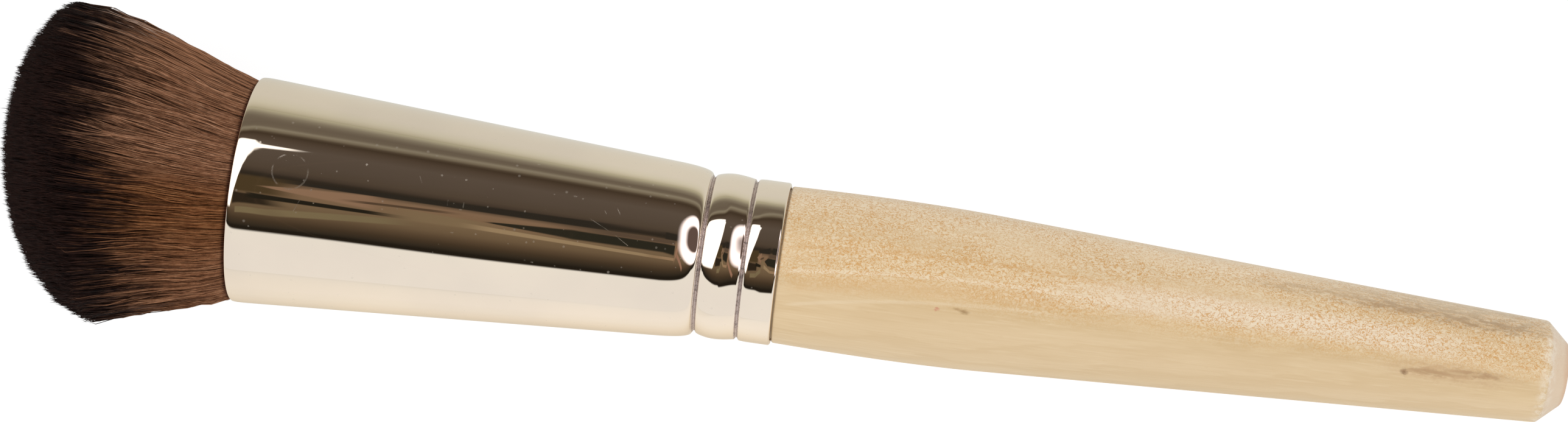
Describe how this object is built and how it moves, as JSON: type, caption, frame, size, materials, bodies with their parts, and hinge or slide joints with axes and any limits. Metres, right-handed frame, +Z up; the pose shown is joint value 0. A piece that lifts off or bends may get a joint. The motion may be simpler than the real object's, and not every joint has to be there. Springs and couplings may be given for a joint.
{
  "type": "foundation brush",
  "caption": "Foundation brush lying on its side: dense flared head with a slanted dome, conical crimped metal ferrule and a tapered turned wood handle with a chamfered butt.",
  "frame": {"origin": "on the surface the brush lies on, under the middle of its box", "axes": "+X along the brush towards the butt of the handle, +Z up, +Y to the side where the dome of the bristles is longer"},
  "size_m": [0.1624, 0.0322, 0.0317],
  "materials": {
    "wood": "clear satin lacquer on pale birch",
    "ferrule_metal": "mirror-polished pale champagne plating",
    "filament": "fine synthetic filaments, chestnut brown with near-black tips",
    "epoxy": "cast amber epoxy",
    "glue": "cured wood glue"
  },
  "bodies": {
    "root": {"handle": "wood", "ferrule": "ferrule_metal", "bristle_bundle": "filament", "epoxy_plug": "epoxy", "handle_glue": "glue"}
  },
  "joints": []
}
